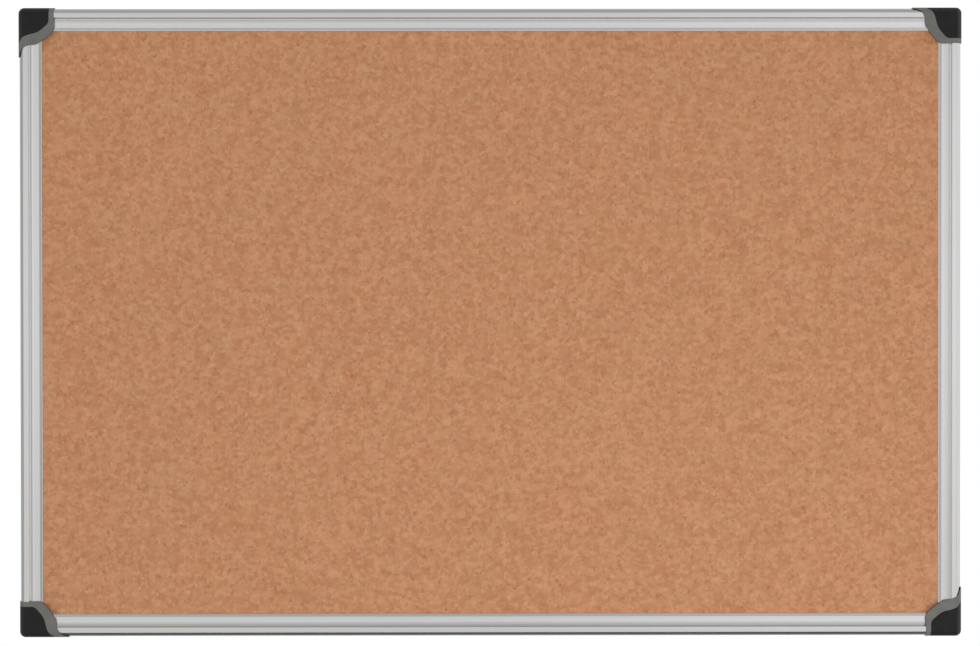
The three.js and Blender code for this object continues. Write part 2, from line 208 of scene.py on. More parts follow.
def spread(tree, value, low, high, from_low=0.0, from_high=1.0):
    """A value's range laid onto another range."""
    node = add_node(
        tree, "ShaderNodeMapRange",
        {"Value": value, "From Min": from_low, "From Max": from_high, "To Min": low, "To Max": high}
    )
    return node.outputs["Result"]


# %% Starting and ending a material
def new_material(name, **sockets):
    """A new material with the shader's uniform values set on its own sockets."""
    material = bpy.data.materials.new(name)
    material.use_nodes = True
    shader = material.node_tree.nodes["Principled BSDF"]
    for key, value in sockets.items():
        shader.inputs[key.replace("_", " ")].default_value = value
    return material, material.node_tree


def end_material(material, colour, rough, normal):
    """Leads a colour, a roughness and a bump to the shader."""
    shader = material.node_tree.nodes["Principled BSDF"]
    for key, output in (("Base Color", colour), ("Roughness", rough), ("Normal", normal)):
        material.node_tree.links.new(output, shader.inputs[key])
    return material


# %% Patterns and relief
def position_mm(tree, stretch=(1, 1, 1)):
    """Each point's own place in millimetres, with each axis stretched."""
    place = add_node(tree, "ShaderNodeTexCoord").outputs["Object"]
    scale = tuple(axis / MM for axis in stretch)
    return add_node(tree, "ShaderNodeMapping", {"Vector": place, "Scale": scale}).outputs["Vector"]


def noise_at(tree, place, scale, detail=2.0, roughness=0.5):
    """Soft noise whose features are about 1 / scale apart."""
    inputs = {"Vector": place, "Scale": scale, "Detail": detail, "Roughness": roughness}
    return add_node(tree, "ShaderNodeTexNoise", inputs).outputs["Fac"]


def bump(tree, height, strength, depth_mm, under=None):
    """A bump of a given depth, over another one."""
    inputs = {"Height": height, "Strength": strength, "Distance": depth_mm * MM}
    if under is not None:
        inputs["Normal"] = under
    return add_node(tree, "ShaderNodeBump", inputs).outputs["Normal"]


# %% Colours
def colours(tree, value, stops):
    """A colour ramp from (place, colour) stops."""
    node = add_node(tree, "ShaderNodeValToRGB", {"Fac": value})
    ramp = node.color_ramp
    while len(ramp.elements) < len(stops):
        ramp.elements.new(0.5)
    for element, (place, colour) in zip(ramp.elements, stops):
        element.position = place
        element.color = (*colour, 1)
    return node.outputs["Color"]


def tinted(tree, colour, other, share):
    """Two colours mixed by a share."""
    inputs = {"Factor": share, "A": colour, "B": other}
    node = tree.nodes.new("ShaderNodeMix")
    node.data_type = "RGBA"
    for socket in node.inputs:
        if socket.enabled and socket.name in inputs:
            fill(tree, socket, inputs[socket.name])
    return [socket for socket in node.outputs if socket.enabled][0]


# %% [markdown]
# ## Making and finishing a mesh
# Pieces pass through a few steps that Blender does well: a modifier is applied on a throwaway object, flat
# faces are merged, and the normals are evened out so that a wide flat face stays flat beside a small radius.
# The last helper stands a piece up, hides the measured nodes it stands for and puts it on the body it rides
# on.

# %% A mesh and its object
def drawn(name, points, edges=(), faces=()):
    """A new mesh from points and what joins them."""
    mesh = bpy.data.meshes.new(name)
    mesh.from_pydata(points, edges, faces)
    return mesh


def in_scene(name, data):
    """A new object, linked to the scene."""
    made = bpy.data.objects.new(name, data)
    bpy.context.scene.collection.objects.link(made)
    return made


# %% Applying a modifier
def evaluated(carrier):
    """The mesh that a throwaway object's modifiers make."""
    graph = bpy.context.evaluated_depsgraph_get()
    made = bpy.data.meshes.new_from_object(carrier.evaluated_get(graph))
    carrier.modifiers.clear()
    bpy.data.objects.remove(carrier)
    return made


def modified(mesh, kind, **settings):
    """A new mesh: the old one with one modifier applied."""
    carrier = in_scene("carrier", mesh)
    modifier = carrier.modifiers.new(kind, kind)
    for name, value in settings.items():
        setattr(modifier, name, value)
    return evaluated(carrier)


def grown_by(tree, mesh, **sizes):
    """A new mesh: what a geometry tree makes of the old one, with the tree's named inputs set."""
    carrier = in_scene(tree.name, mesh)
    modifier = carrier.modifiers.new(tree.name, "NODES")
    modifier.node_group = tree
    for item in tree.interface.items_tree:
        key = item.name.replace(" ", "_")
        if item.item_type == "SOCKET" and item.in_out == "INPUT" and key in sizes:
            modifier[item.identifier] = sizes[key]
    return evaluated(carrier)


# %% Cleaning a mesh
def outwards(work, mesh):
    """Turns all faces outwards and writes the work to a mesh."""
    bmesh.ops.recalc_face_normals(work, faces=work.faces)
    work.to_mesh(mesh)
    work.free()
    return mesh


def cleaned(mesh, merge=0.0005, flat_angle=math.radians(0.4)):
    """Merges doubled points and joins the faces that lie in one plane."""
    work = bmesh.new()
    work.from_mesh(mesh)
    bmesh.ops.remove_doubles(work, verts=work.verts, dist=merge)
    bmesh.ops.dissolve_limit(work, angle_limit=flat_angle, verts=work.verts, edges=work.edges)
    return outwards(work, mesh)


# %% Shading and finishing a mesh
as_drawn = Matrix.Identity(4)


def shaded(mesh, sharp=math.radians(38)):
    """Smooths what curves, keeps sharp edges, and lets wide faces rule the normals."""
    mesh.polygons.foreach_set("use_smooth", [True] * len(mesh.polygons))
    mesh.set_sharp_from_angle(angle=sharp)
    return modified(mesh, "WEIGHTED_NORMAL", keep_sharp=True)


def finish_piece(name, mesh, place, material, body, slot, *nodes):
    """Stands a drawn mesh up as a piece of the board that stands for measured nodes."""
    mesh.transform(stand_up @ place)
    mesh.name = name
    mesh.materials.clear()
    mesh.materials.append(material)
    piece = in_scene(name, mesh)
    if nodes:
        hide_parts(*nodes)
    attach(piece, body)
    print(name, "faces:", len(mesh.polygons), "points:", len(mesh.vertices))
    return piece


# %% [markdown]
# ## The aluminium's finish
# The rails are extruded and then satin anodised. The die leaves fine lines along the whole rail, so a
# reflection spreads across them and hardly along them: that is anisotropy, and its tangent is the way the
# rail runs. The lines are noise, stretched until it is only lines.

# %% The extruded aluminium
def extruded_aluminium(name, along):
    """Anodised aluminium with its die lines along one axis."""
    material, tree = new_material(name, Metallic=1.0, Anisotropic=0.35, Anisotropic_Rotation=0.25)
    run = [1.0, 1.0, 1.0]
    run[along] = 0.002
    place = position_mm(tree, run)
    fine = noise_at(tree, place, 6.0, detail=3)
    broad = noise_at(tree, place, 0.7)
    cloud = noise_at(tree, position_mm(tree), 0.02, detail=1)
    colour = colours(tree, fine, [(0.25, (0.79, 0.79, 0.785)), (0.75, (0.86, 0.86, 0.855))])
    colour = tinted(tree, colour, (0.75, 0.75, 0.755, 1), spread(tree, broad, 0.0, 0.35, 0.35, 0.75))
    rough = arithmetic(tree, "ADD", spread(tree, fine, 0.17, 0.25), spread(tree, cloud, -0.02, 0.02))
    lines = bump(tree, fine, 0.25, 0.012, bump(tree, broad, 0.2, 0.03))
    way = [0.0, 0.0, 0.0]
    way[along] = 1.0
    tree.links.new(vector(tree, *way), tree.nodes["Principled BSDF"].inputs["Tangent"])
    return end_material(material, colour, rough, lines)


aluminium_across = extruded_aluminium("anodised_aluminium_across", along=0)
aluminium_upright = extruded_aluminium("anodised_aluminium_upright", along=2)
print("aluminium nodes:", len(aluminium_across.node_tree.nodes))

# %% [markdown]
# ## The rails
# An extrusion is one section pushed along a line, which is just what a geometry tree is good at. The section
# is drawn once as two rings of edges, the outside and the chamber. The tree fills between them, pushes the
# face out to the rail's length, closes the other end, and drills the two screw holes through the groove
# behind.

# %% The rail's front
def between(start, end, shares):
    """A curve's points: its ends, and shares of the way between them across and up."""
    (x, y), (width, rise) = start, (end[0] - start[0], end[1] - start[1])
    return [(x + across * width, y + up * rise) for across, up in [(0, 0)] + shares + [(1, 1)]]


def rail_front(fit=0.0, bead_steps=16, cove_steps=18):
    """The seen side of the section, from the foot of the bead to the foot of the nose."""
    top = crest + fit
    line = [(-fit, bead_foot)]
    line += bezier(between(line[0], (bead_width, top), bead_shares), bead_steps)
    line.append((crest_end, top))
    line += bezier(between(line[-1], (cove_end, top - cove_drop), cove_knee_shares), cove_steps)
    nose_end = (cove_end + nose_width + fit, line[-1][1] - nose_height - fit)
    return line + bezier(between(line[-1], nose_end, nose_shares), bead_steps)


# %% The rail's section
screw_groove_reach, screw_groove_depth = 3.25, 1.5
chamber_floor = screw_groove_depth + rail_wall
extrusion_radius = 0.22

section_outside = [(0, 0)] + rail_front() + [
    (rail_face - nose_width, nose_foot), (web_inner, nose_foot + lip_rise_share * cove_drop),
    (web_inner, rear_lip_wall), (web_inner + rear_lip_reach, rear_lip_wall), (web_inner + rear_lip_reach, 0),
    (screw_line + screw_groove_reach, 0), (screw_line + screw_groove_reach, screw_groove_depth),
    (screw_line - screw_groove_reach, screw_groove_depth), (screw_line - screw_groove_reach, 0)
]
section_chamber = [
    (rail_wall, chamber_floor), (web_outer, chamber_floor), (web_outer, crest - cove_drop - rail_wall),
    (crest_end - rail_wall, crest - rail_wall), (bead_width, crest - rail_wall), (rail_wall, bead_foot)
]


def ring_mesh(name, *outlines):
    """Closed outlines as a mesh of edges alone."""
    points, edges = [], []
    for outline in outlines:
        first, count = len(points), len(outline)
        points += [(x, y, 0) for x, y in outline]
        edges += [(first + i, first + (i + 1) % count) for i in range(count)]
    return drawn(name, points, edges)


section = ring_mesh(
    "rail_section", eased(section_outside, extrusion_radius), eased(section_chamber, extrusion_radius)
)
print("section points:", len(section.vertices))

# %% Starting a geometry tree
SOCKET_KINDS = {"Geometry": "Geometry", "Seed": "Int", "Material": "Material"}


def new_tree(name, *sockets):
    """A geometry tree with a mesh in and out and named inputs, numbers unless their name says more."""
    tree = bpy.data.node_groups.new(name, "GeometryNodeTree")
    tree.interface.new_socket("Geometry", in_out="OUTPUT", socket_type="NodeSocketGeometry")
    for socket in ("Geometry", *sockets):
        kind = SOCKET_KINDS.get(socket, "Float")
        tree.interface.new_socket(socket, in_out="INPUT", socket_type="NodeSocket" + kind)
    return tree, add_node(tree, "NodeGroupInput").outputs


def shape(tree, kind, inputs, **settings):
    """The first output of a geometry node."""
    return add_node(tree, "GeometryNode" + kind, inputs, **settings).outputs[0]


def random_value(tree, low, high, seed):
    """A number of its own for each point."""
    return add_node(tree, "FunctionNodeRandomValue", {2: low, 3: high, "Seed": seed}).outputs[1]


def end_tree(tree, geometry, material):
    """Every tree ends the same way: instances become mesh and get their material."""
    real = shape(tree, "RealizeInstances", {"Geometry": geometry})
    painted = shape(tree, "SetMaterial", {"Geometry": real, "Material": material})
    add_node(tree, "NodeGroupOutput", {"Geometry": painted})
    print("tree", tree.name, "has", len(tree.nodes), "nodes")
    return tree


# %% The extrusion's tree
def extrusion_tree():
    """A section filled, pushed along z to a length, and drilled from behind near both ends."""
    tree, given = new_tree(
        "extruded_rail", "Length", "Hole Radius", "Hole Across", "Hole From End", "Hole Depth", "Material"
    )
    rings = shape(tree, "MeshToCurve", {"Mesh": given["Geometry"]})
    face = shape(tree, "FillCurve", {"Curve": rings}, mode="TRIANGLES")
    sizes = {"Mesh": face, "Offset Scale": given["Length"], "Individual": False}
    far_end = shape(tree, "ExtrudeMesh", sizes, mode="FACES")
    near_end = shape(tree, "FlipFaces", {"Mesh": face})
    both = shape(tree, "JoinGeometry", {"Geometry": [near_end, far_end]})
    length = shape(tree, "MergeByDistance", {"Geometry": both, "Distance": 0.0001})

    last = arithmetic(tree, "SUBTRACT", given["Length"], given["Hole From End"])
    start = vector(tree, x=given["Hole Across"], z=given["Hole From End"])
    end = vector(tree, x=given["Hole Across"], z=last)
    places = shape(tree, "MeshLine", {"Count": 2, "Start Location": start, "Offset": end}, mode="END_POINTS")
    sizes = {"Vertices": 32, "Radius": given["Hole Radius"], "Depth": given["Hole Depth"]}
    drill = shape(tree, "MeshCylinder", sizes)
    drills = shape(
        tree, "InstanceOnPoints", {"Points": places, "Instance": drill, "Rotation": (QUARTER, 0, 0)}
    )
    drills = shape(tree, "RealizeInstances", {"Geometry": drills})
    cutters = {"Mesh 1": length, "Mesh 2": drills}
    drilled = shape(tree, "MeshBoolean", cutters, operation="DIFFERENCE", solver="EXACT")
    return end_tree(tree, drilled, given["Material"])


# %% The four rails
rail_end_gap = 1
rail_setback = rail_face + rail_end_gap
screw_from_end = 12
screw_hole_radius = 1.7
extruded_rail = extrusion_tree()

# Each side is drawn as the bottom one and turned by quarters: its length, and how far it lies from the middle
lying, upright = (board_width, board_height / 2), (board_height, board_width / 2)
sides = [
    ("bottom", "bottom_left", *lying),
    ("right", "bottom_right", *upright),
    ("top", "top_right", *lying),
    ("left", "top_left", *upright),
]
# The section's across becomes up, its out stays out, and its length runs to the right
lay_along = Matrix(((0, 0, 1, 0), (1, 0, 0, 0), (0, 1, 0, 0), (0, 0, 0, 1)))


def turned_to(turn):
    return Matrix.Rotation(turn * QUARTER, 4, "Z")


def side_start(turn, length, offset):
    """The left end of a side, turned by quarters."""
    return turned_to(turn) @ Matrix.Translation((-length / 2, -offset, 0))


for turn, (side, _, length, offset) in enumerate(sides):
    rail_length = length - 2 * rail_setback
    material = aluminium_across if side in ("bottom", "top") else aluminium_upright
    rail = grown_by(
        extruded_rail, section.copy(), Length=rail_length, Hole_Radius=screw_hole_radius,
        Hole_Across=screw_line, Hole_From_End=screw_from_end, Hole_Depth=2 * (chamber_floor + rail_wall),
        Material=material
    )
    place = side_start(turn, rail_length, offset) @ lay_along
    rail = shaded(cleaned(rail))
    finish_piece(f"extruded_rail_{side}", rail, place, material, "board", "rail_aluminium", f"rail_{side}")

# %% [markdown]
# ## Solids that are joined and cut
# The corners and caps are injection moulded, and their shapes are what is left when plain solids are joined
# and cut: a block with a rounded edge, an outline seen from the front, the room that a rail needs. Each solid
# is lofted through a few rings, and Blender's boolean modifier does the joining.

# %% Lofted solids
def loft(rings):
    """A closed solid through rings of equally many points."""
    count = len(rings[0])
    points = [point for ring in rings for point in ring]
    faces = [tuple(reversed(range(count))), tuple(range(len(points) - count, len(points)))]
    for level in range(len(rings) - 1):
        low = level * count
        for i in range(count):
            j = (i + 1) % count
            faces.append((low + i, low + j, low + count + j, low + count + i))
    mesh = drawn("solid", points, faces=faces)
    work = bmesh.new()
    work.from_mesh(mesh)
    return outwards(work, mesh)


def raised(outlines):
    """A solid through (height, outline) levels."""
    return loft([[(x, y, height) for x, y in outline] for height, outline in outlines])


def box(low, high):
    corners = [(low[0], low[1]), (high[0], low[1]), (high[0], high[1]), (low[0], high[1])]
    return raised([(low[2], corners), (high[2], corners)])


def circle(radius, centre, steps):
    return arc(centre, (radius, radius), 0, 2 * math.pi, steps)[:-1]


def bar(radius, centre, low, high, steps=48):
    return raised([(height, circle(radius, centre, steps)) for height in (low, high)])


# %% Joining, cutting and sharing
def combined(first, second, operation):
    tool = in_scene("tool", second)
    made = modified(first, "BOOLEAN", object=tool, operation=operation, solver="MANIFOLD")
    bpy.data.objects.remove(tool)
    return made


def joined(first, *others):
    for other in others:
        first = combined(first, other, "UNION")
    return first


def cut(first, *others):
    for other in others:
        first = combined(first, other, "DIFFERENCE")
    return first


def shared(first, second):
    return combined(first, second, "INTERSECT")


# %% [markdown]
# ## The corner moulding
# Seen from the front, a corner isn't symmetrical: it laps a little over one rail and sweeps far out along the
# other, and all four are the same moulding turned by quarters. It is drawn for the bottom left, from the
# rails' outer faces, with its long arm along x. The sweep is written as shares of the two arms, as it was
# measured.

# %% The moulding's sizes
overrun, reach = 2, 90
short_lap, long_lap = 11.3, 24
shell_fit, shell_side_wall, shell_front_wall = 0.2, 0.8, 1.2
edge_round = 0.6
corner_round = 4.5
shoulder_gap = 0.3
moulding_wall = 1.5
panel_clearance = 0.3
sweep_shares = [(0.835, 0.025), (0.785, 0.105), (0.74, 0.405)]
chamfer_shares = [(0.71, 0.59), (0.62, 0.765), (0.49, 0.945)]
turn_shares = [(0.45, 1), (0.39, 1)]

shoulder = rail_setback - shoulder_gap
shell_side = shell_fit + shell_side_wall
shell_front = shell_fit + shell_front_wall
short_arm, long_arm = rail_setback + short_lap, rail_setback + long_lap

# %% The cap's sizes
cap_inset, cap_long_inset = 4.8, 14
cap_arm, cap_long_arm = short_arm - cap_inset, long_arm - cap_long_inset
cap_base, cap_fit = 3, 0.2
peg_radius, peg_length, peg_bulge, peg_fit = 1.95, 8, 0.15, 0.2
peg_tip, peg_bulge_rise, peg_neck_rise = 1.2, 1, 2.2
slit_width, slit_depth = 0.8, 5.5
cap_sweep_shares = [(0.875, 0.055), (0.8, 0.155), (0.745, 0.45)]
cap_chamfer_shares = [(0.71, 0.65), (0.63, 0.745), (0.505, 0.905)]
cap_turn_shares = [(0.4375, 1), (0.33, 1)]

well_wall, well_radius, wall_screw_hole_radius, wall_screw_seat = 1.4, 4.6, 3.1, 4
well_edge, socket_wall, socket_spare = 0.6, 1.3, 2
well_outer = well_radius + well_wall
well = (well_edge + well_outer,) * 2
socket_radius, socket_depth = peg_radius + peg_bulge + peg_fit, peg_length + socket_spare
deck_under = crest - moulding_wall
panel_corner = panel_inset - panel_clearance
tray_inside = panel_corner - moulding_wall
tray_end = shoulder - moulding_wall
peg_along = (well[0] + well_outer + tray_end) / 2
peg_across = (moulding_wall + tray_inside) / 2
print("cap pegs at", round(peg_along, 2), round(peg_across, 2), "mm from the rails' outer faces")

# %% The outline from the front
def arm_outline(long, short, sweep, chamfer, turn, steps=18):
    """From past the outer faces: the long arm's end, the sweep, the chamfer and the short arm's end."""
    line = [(-reach, -reach), (long, -reach), (long, 0)]
    for shares in (sweep, chamfer, turn):
        line += bezier([line[-1]] + [(along * long, across * short) for along, across in shares], steps)
    return line + [(-reach, short)]


moulding_outline = arm_outline(long_arm, short_arm, sweep_shares, chamfer_shares, turn_shares)
cap_outline = arm_outline(cap_long_arm, cap_arm, cap_sweep_shares, cap_chamfer_shares, cap_turn_shares)


# %% The moulding's parent solids
def corner_block(side, front, foot=0.0, steps=16):
    """Two outer sides that meet in a rounded corner, with the bead's bevel round both."""
    width, rise, radius = bead_width + side, bead_drop + front, corner_round + side
    bead = [(0, 0)] + bezier([(0, 0)] + bead_shares + [(1, 1)], steps)
    insets = [(foot, 0.0)] + [(bead_foot + rise * up, width * across) for across, up in bead]
    centre = (radius - side, radius - side)
    solid = []
    for height, inset in insets:
        face = inset - side
        turn = arc(centre, (radius - inset, radius - inset), math.pi, 3 * QUARTER, steps)
        solid.append((height, [(reach, face), (reach, reach), (face, reach)] + turn))
    return raised(solid)


def rounded_plate(outline, top, steps=6):
    """An outline raised to a top whose edge is rounded."""
    rings = [(-overrun, outline)]
    for step in range(steps + 1):
        a = QUARTER * step / steps
        inset = edge_round * (1 - math.cos(a))
        rings.append((top - edge_round + edge_round * math.sin(a), grown(outline, -inset)))
    return raised(rings)


def room_around(outline, bottom, fit):
    """The room that an outline takes with a fit all round, from a height outwards."""
    wide = grown(outline, fit)
    return raised([(bottom - fit, outline), (bottom, wide), (reach, wide)])


# %% What runs along an arm
ARMS = ("x", "y")


def placed(arm, along, across, height):
    """A point beside one of the two arms."""
    return (along, across, height) if arm == "x" else (across, along, height)


def run(arm, section, start, end):
    """A section of (across, height) points run along an arm."""
    return loft([[placed(arm, along, x, y) for x, y in section] for along in (start, end)])


def rail_room(arm):
    """What a rail takes out of the moulding: its front with a fit, and everything behind that."""
    section = [(-shell_fit, -overrun)] + rail_front(shell_fit) + [(rail_face + shell_fit, -overrun)]
    return run(arm, section, shoulder, shoulder + reach)


# %% The arms that plug into the rails
arm_reach, arm_fit, arm_tip_taper, arm_tip_inset = 30, 0.3, 1.5, 0.7
arm_floor, arm_side, arm_tip_wall, pilot_block = 2.2, 1.5, 3, 4
rib_height, rib_width, rib_shares = 0.15, 1, (0.3, 0.7)
pilot_radius = 1.55


def arm_solid(arm):
    """A bar with crush ribs and a tapered tip, cored out on both sides of the screw's block."""
    near, far = rail_wall + arm_fit, web_outer - arm_fit
    floor, top = chamber_floor + arm_fit, bead_foot - arm_fit
    section = [(near, floor), (far, floor)]
    for share in rib_shares:
        middle = floor + share * (top - floor)
        section += [(far, middle - rib_width / 2), (far + rib_height, middle), (far, middle + rib_width / 2)]
    section += [(far, top), (near, top)]
    start, tip = tray_end, shoulder + arm_reach
    thin = grown(section, -arm_tip_inset)
    rings = [(start, thin), (start + arm_tip_taper, section), (tip - arm_tip_taper, section), (tip, thin)]
    solid = loft([[placed(arm, along, x, y) for x, y in ring] for along, ring in rings])
    screw = rail_setback + screw_from_end
    for begin, end in ((shoulder, screw - pilot_block), (screw + pilot_block, tip - arm_tip_wall)):
        low = placed(arm, begin, near + arm_side, floor + arm_floor)
        high = placed(arm, end, far - arm_side, top + overrun)
        solid = cut(solid, box(low, high))
    pilot = placed(arm, screw, screw_line, 0)[:2]
    return cut(solid, bar(pilot_radius, pilot, floor - overrun, top + overrun, 32))


# %% The moulding's middle
def peg_place(arm):
    return placed(arm, peg_along, peg_across, 0)[:2]


def core_solid():
    """The tray under the cap, with the wall screw's well and the sockets for the cap's pegs."""
    block = shared(corner_block(0, 0), box((-overrun,) * 3, (shoulder, shoulder, crest + overrun)))
    core = block
    for arm in ARMS:
        room = box(placed(arm, 0, 0, -overrun), placed(arm, tray_end, tray_inside, deck_under))
        core = cut(core, shared(corner_block(-moulding_wall, -moulding_wall, -overrun), room))
    posts = bar(well_outer, well, 0, crest)
    for arm in ARMS:
        posts = joined(posts, bar(socket_radius + socket_wall, peg_place(arm), crest - socket_depth, crest))
    core = joined(core, shared(block, posts))
    for arm in ARMS:
        core = cut(core, bar(socket_radius, peg_place(arm), crest - socket_depth - overrun, crest + overrun))
    core = cut(core, bar(well_radius, well, wall_screw_seat, crest + overrun))
    return cut(core, bar(wall_screw_hole_radius, well, -overrun, wall_screw_seat + overrun))


# %% The whole moulding
def shell_solid():
    """The shell that passes over the rails' ends and the panel's corner, open where the cap goes."""
    shell = shared(
        corner_block(shell_side, shell_front), rounded_plate(moulding_outline, crest + shell_front)
    )
    tray = box((0, 0, -overrun), (tray_end, tray_end, deck_under))
    hollow = shared(corner_block(-moulding_wall, -moulding_wall, -overrun), tray)
    return cut(shell, room_around(cap_outline, cap_base, cap_fit), hollow)


def moulding_solid():
    solid = joined(shell_solid(), core_solid())
    solid = cut(solid, *(rail_room(arm) for arm in ARMS))
    panel = box((panel_corner, panel_corner, -overrun), (reach, reach, panel_front + panel_clearance))
    return joined(cut(solid, panel), *(arm_solid(arm) for arm in ARMS))


moulding = shaded(cleaned(moulding_solid()))
print("moulding faces:", len(moulding.polygons))

# %% [markdown]
# ## The grey plastic
# The mouldings are a mid-grey plastic with the fine even texture of a spark-eroded mould. The texture is
# mostly bump. The colour barely changes, with a slow cloud from the melt's flow and a faint speckle from its
# pigment.

# %% Moulded plastic
def moulded_plastic(name, dark, light, rough, grain_depth, **sockets):
    """A plastic with a slow cloud, a faint speckle and a mould's fine texture."""
    material, tree = new_material(name, **sockets)
    place = position_mm(tree)
    cloud = noise_at(tree, place, 0.09, detail=3)
    grain = noise_at(tree, place, 2.4, detail=2, roughness=0.6)
    speck = add_node(tree, "ShaderNodeTexVoronoi", {"Vector": place, "Scale": 3.2}).outputs["Distance"]
    colour = colours(tree, cloud, [(0.3, dark), (0.7, light)])
    colour = tinted(tree, colour, (*light, 1), spread(tree, speck, 0.3, 0.0, 0.0, 0.35))
    rough = spread(tree, grain, rough - 0.06, rough + 0.06, 0.3, 0.7)
    return end_material(
        material, colour, rough, bump(tree, grain, 0.5, grain_depth, bump(tree, cloud, 0.15, 0.2))
    )


grey_plastic = moulded_plastic(
    "grey_moulding_plastic", (0.125, 0.124, 0.114), (0.15, 0.149, 0.138), 0.46, 0.05
)
print("grey plastic nodes:", len(grey_plastic.node_tree.nodes))

# %% The four mouldings
for turn, (_, corner, length, offset) in enumerate(sides):
    place = side_start(turn, length, offset)
    finish_piece(
        f"moulding_{corner}", moulding.copy(), place, grey_plastic, "board", "corner_grey", f"corner_{corner}"
    )

# %% [markdown]
# ## The caps
# A cap is the same block as the moulding's shell, cut by its own outline and hollowed by the moulding's
# middle. Two pegs under it snap into the sockets: each is a turned stalk with a bulge near its end, split so
# that it can spring. Each cap rides on a body of its own, because it pulls off.

# %% The cap's pegs
def peg_solid(arm, steps=32):
    top = crest + shell_fit + shell_front_wall / 2
    bottom = crest + shell_fit - peg_length
    profile = [
        (peg_tip, bottom), (peg_radius + peg_bulge, bottom + peg_bulge_rise),
        (peg_radius, bottom + peg_neck_rise), (peg_radius, top)
    ]
    place = peg_place(arm)
    stalk = raised([(height, circle(radius, place, steps)) for radius, height in profile])
    x, y = place
    half, wide = slit_width / 2, peg_radius + overrun
    return cut(stalk, box((x - half, y - wide, bottom - overrun), (x + half, y + wide, bottom + slit_depth)))


def cap_solid():
    cap = shared(corner_block(shell_side, shell_front), rounded_plate(cap_outline, crest + shell_front))
    below = box((-reach, -reach, -reach), (reach, reach, cap_base + cap_fit))
    cap = cut(cap, corner_block(shell_fit, shell_fit, -overrun), below)
    return joined(cap, *(peg_solid(arm) for arm in ARMS))


cap = shaded(cleaned(cap_solid()))
black_plastic = moulded_plastic(
    "black_cap_plastic", (0.007, 0.007, 0.007), (0.011, 0.011, 0.0108), 0.44, 0.03, Specular_IOR_Level=0.3
)
print("cap faces:", len(cap.polygons))

# %% The four caps
for turn, (_, corner, length, offset) in enumerate(sides):
    place = side_start(turn, length, offset)
    finish_piece(
        f"snap_cap_{corner}", cap.copy(), place, black_plastic, f"cap_{corner}", "cap_black", f"cap_{corner}"
    )

# %% [markdown]
# ## The screws behind
# Eight pan-head screws hold the rails to the corners' arms. They repeat, so a tree makes one and puts it on
# eight points. A sphere is eased into a pan head by raising its two coordinates to a power, the thread is a
# spiral with a three-sided section, and a fixed seed turns each screw to its own angle, as a driver leaves
# it.

# %% The pan head
def pan_head(tree, given):
    """Half a ball, with its distances from the middle and its height raised to a power."""
    ball = shape(tree, "MeshUVSphere", {"Segments": 48, "Rings": 24, "Radius": 1.0})
    x, y, z = separated(tree, add_node(tree, "GeometryNodeInputPosition").outputs[0])
    across = arithmetic(tree, "SQRT", arithmetic(tree, "ADD", times(tree, x, x), times(tree, y, y)), 0.0)
    power = arithmetic(tree, "DIVIDE", 2.0, given["Pan Power"])
    eased_across = arithmetic(tree, "POWER", across, power)
    ratio = arithmetic(tree, "DIVIDE", eased_across, arithmetic(tree, "MAXIMUM", across, 0.000001))
    widen = times(tree, ratio, given["Head Radius"])
    up = arithmetic(tree, "MAXIMUM", times(tree, z, -1.0), 0.0)
    rise = times(tree, arithmetic(tree, "POWER", up, power), given["Head Height"])
    moved = vector(tree, times(tree, x, widen), times(tree, y, widen), times(tree, rise, -1.0))
    head = shape(tree, "SetPosition", {"Geometry": ball, "Position": moved})
    return shape(tree, "MergeByDistance", {"Geometry": head, "Distance": 0.0001})


# %% The cross recess
def cross_recess(tree, given, head):
    """Two tapered bars, cut from the top of the head."""
    sizes = {
        "Vertices": 4, "Radius Top": times(tree, given["Recess Length"], 0.35),
        "Radius Bottom": times(tree, given["Recess Length"], 0.78),
        "Depth": times(tree, given["Recess Depth"], 2.0)
    }
    taper = shape(tree, "MeshCone", sizes)
    square = shape(tree, "Transform", {"Geometry": taper, "Rotation": (0, 0, math.pi / 4)})
    thin = vector(tree, given["Recess Width Share"], 1.0, 1.0)
    depth = arithmetic(tree, "ADD", given["Head Height"], given["Recess Depth"])
    lower = vector(tree, z=times(tree, depth, -1.0))
    slot = shape(tree, "Transform", {"Geometry": square, "Translation": lower, "Scale": thin})
    other = shape(tree, "Transform", {"Geometry": slot, "Rotation": (0, 0, QUARTER)})
    cutters = {"Mesh 1": head, "Mesh 2": [slot, other]}
    return shape(tree, "MeshBoolean", cutters, operation="DIFFERENCE", solver="EXACT")


# %% The shank
def threaded_shank(tree, given):
    """The straight shank, its cone tip and the thread round it."""
    radius = given["Shank Radius"]
    straight = arithmetic(tree, "SUBTRACT", given["Shank Length"], given["Tip Length"])
    shank = shape(tree, "MeshCylinder", {"Vertices": 24, "Radius": radius, "Depth": straight})
    shank_up = vector(tree, z=times(tree, straight, 0.5))
    shank = shape(tree, "Transform", {"Geometry": shank, "Translation": shank_up})
    sizes = {"Vertices": 24, "Radius Top": 0.0, "Radius Bottom": radius, "Depth": given["Tip Length"]}
    tip = shape(tree, "MeshCone", sizes)
    tip = shape(tree, "Transform", {"Geometry": tip, "Translation": vector(tree, z=straight)})
    sizes = {"Resolution": 20, "Rotations": given["Thread Turns"], "Height": straight}
    spiral = shape(tree, "CurveSpiral", {**sizes, "Start Radius": radius, "End Radius": radius})
    ridge = shape(tree, "CurvePrimitiveCircle", {"Resolution": 3, "Radius": given["Thread Height"]})
    thread = shape(tree, "CurveToMesh", {"Curve": spiral, "Profile Curve": ridge, "Fill Caps": True})
    return [shank, tip, thread]


